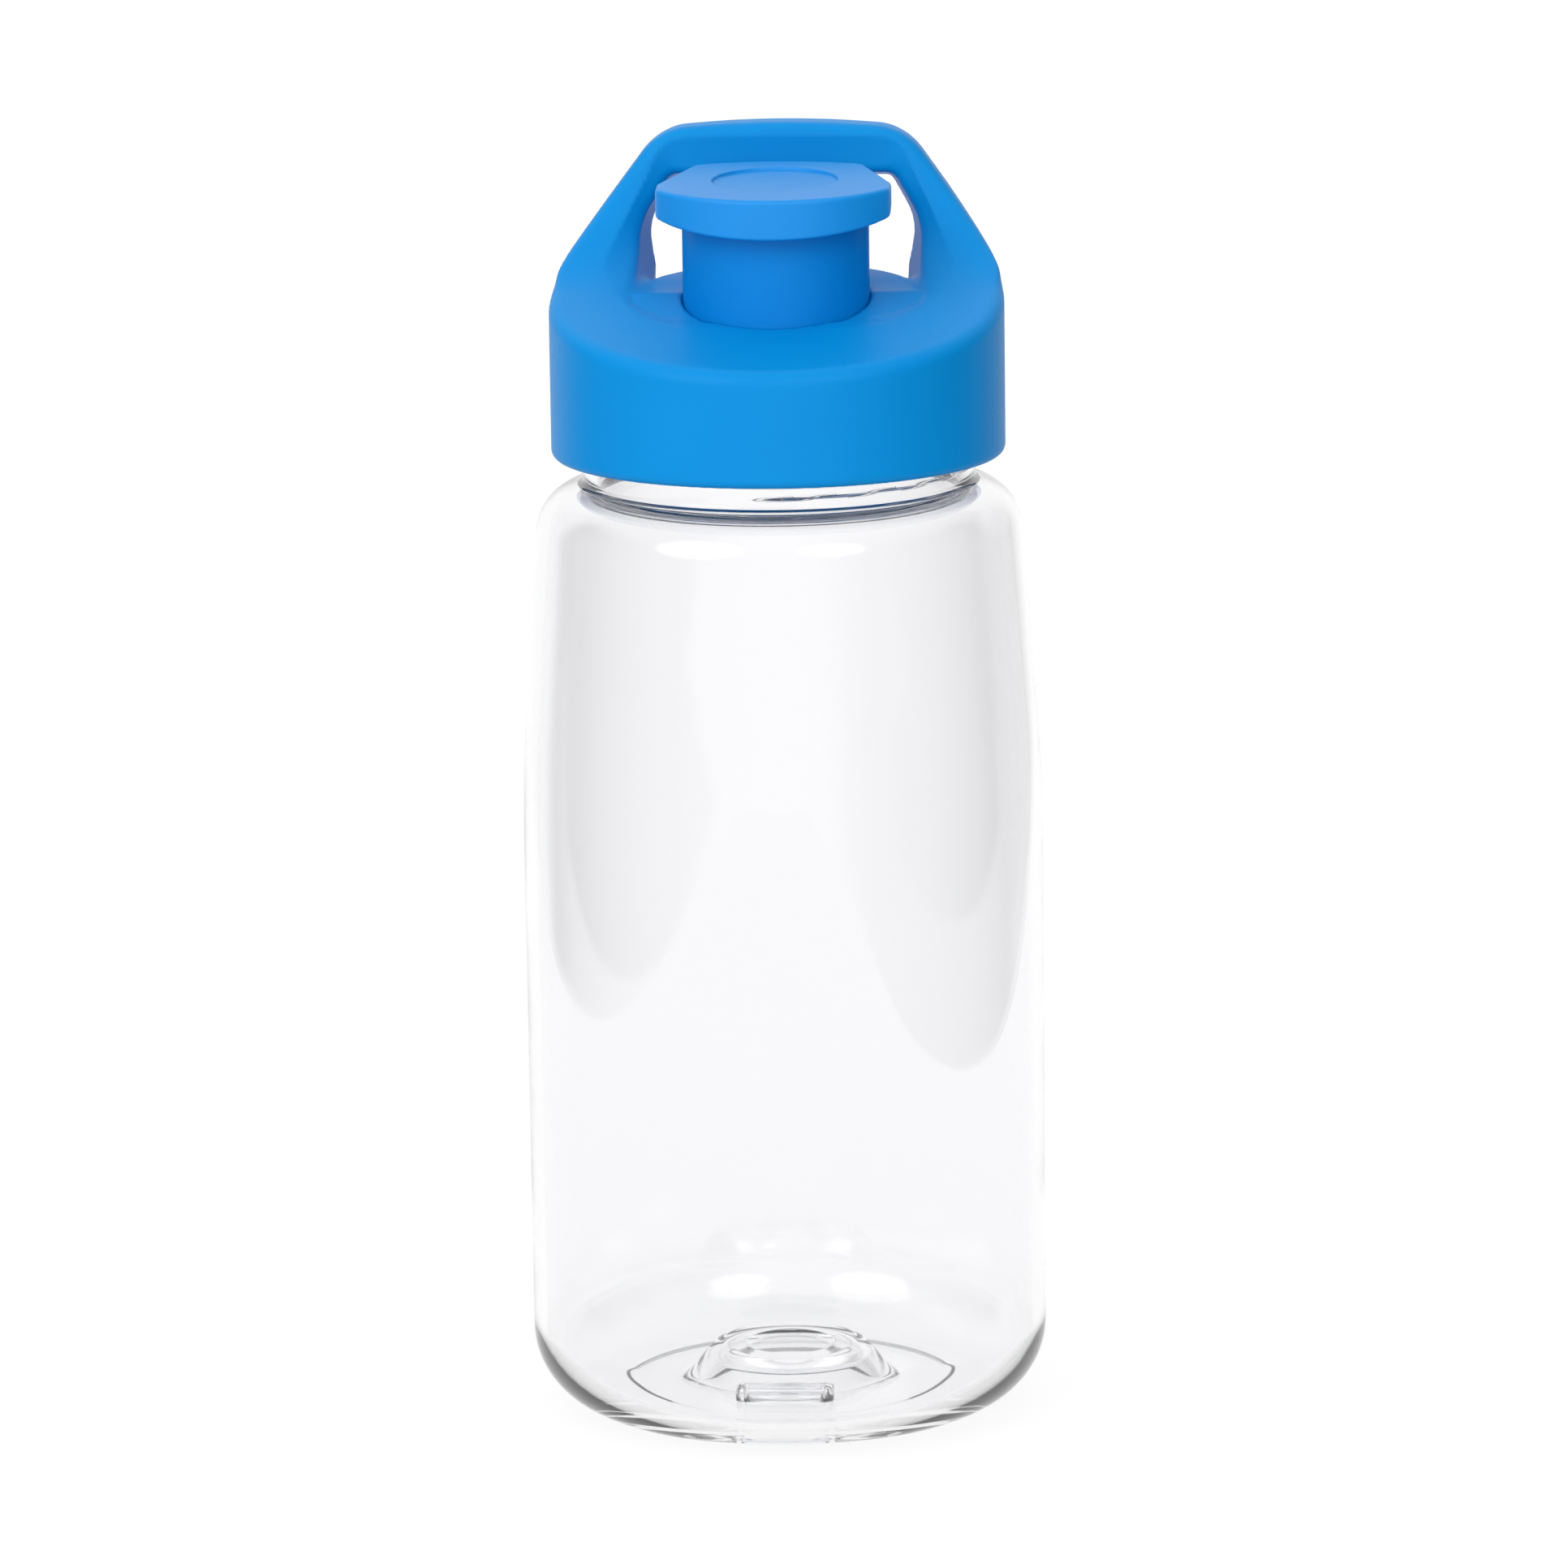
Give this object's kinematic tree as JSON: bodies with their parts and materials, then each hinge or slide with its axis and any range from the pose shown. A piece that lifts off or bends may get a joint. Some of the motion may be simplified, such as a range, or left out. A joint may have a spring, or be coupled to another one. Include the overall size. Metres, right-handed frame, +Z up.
{
  "type": "sports drinking bottle",
  "caption": "Clear plastic sports bottle with a blue screw lid, a carry arch and a flip-up cap over a round drinking tower.",
  "frame": {"origin": "centre of the ring that the bottle stands on, at table level", "axes": "+Z up along the bottle's axis; -Y is the front, where the drinking lip is; +X to the right seen from the front"},
  "size_m": [0.0752, 0.0752, 0.1848],
  "materials": {
    "clear_body": "clear glossy copolyester",
    "blue_lid": "satin moulded polypropylene",
    "blue_insert": "satin moulded polypropylene",
    "blue_cap": "satin moulded polypropylene",
    "silicone": "translucent silicone",
    "steel_pin": "ground"
  },
  "bodies": {
    "bottle": {"bottle_body": "clear_body"},
    "lift": {"neck_gasket": "silicone"},
    "lid": {"lid_shell": "blue_lid", "lid_insert": "blue_insert", "hinge_pin": "steel_pin"},
    "cap": {"flip_cap": "blue_cap", "cap_seal": "silicone"}
  },
  "joints": [
    {"name": "lid_lift", "type": "slide", "parent": "bottle", "child": "lift", "axis": [0, 0, 1], "range_m": [0, 0.0135]},
    {"name": "lid_turn", "type": "hinge", "parent": "lift", "child": "lid", "pos_m": [0, 0, 0.1398], "axis": [0, 0, 1], "range_deg": [0, 1080]},
    {"name": "cap_flip", "type": "hinge", "parent": "lid", "child": "cap", "pos_m": [0, 0.0162, 0.1774], "axis": [-1, 0, 0], "range_deg": [0, 95]}
  ],
  "couplings": [
    {"joint": "lid_lift", "follows": "lid_turn", "m_per_rad": 0.0007162}
  ]
}
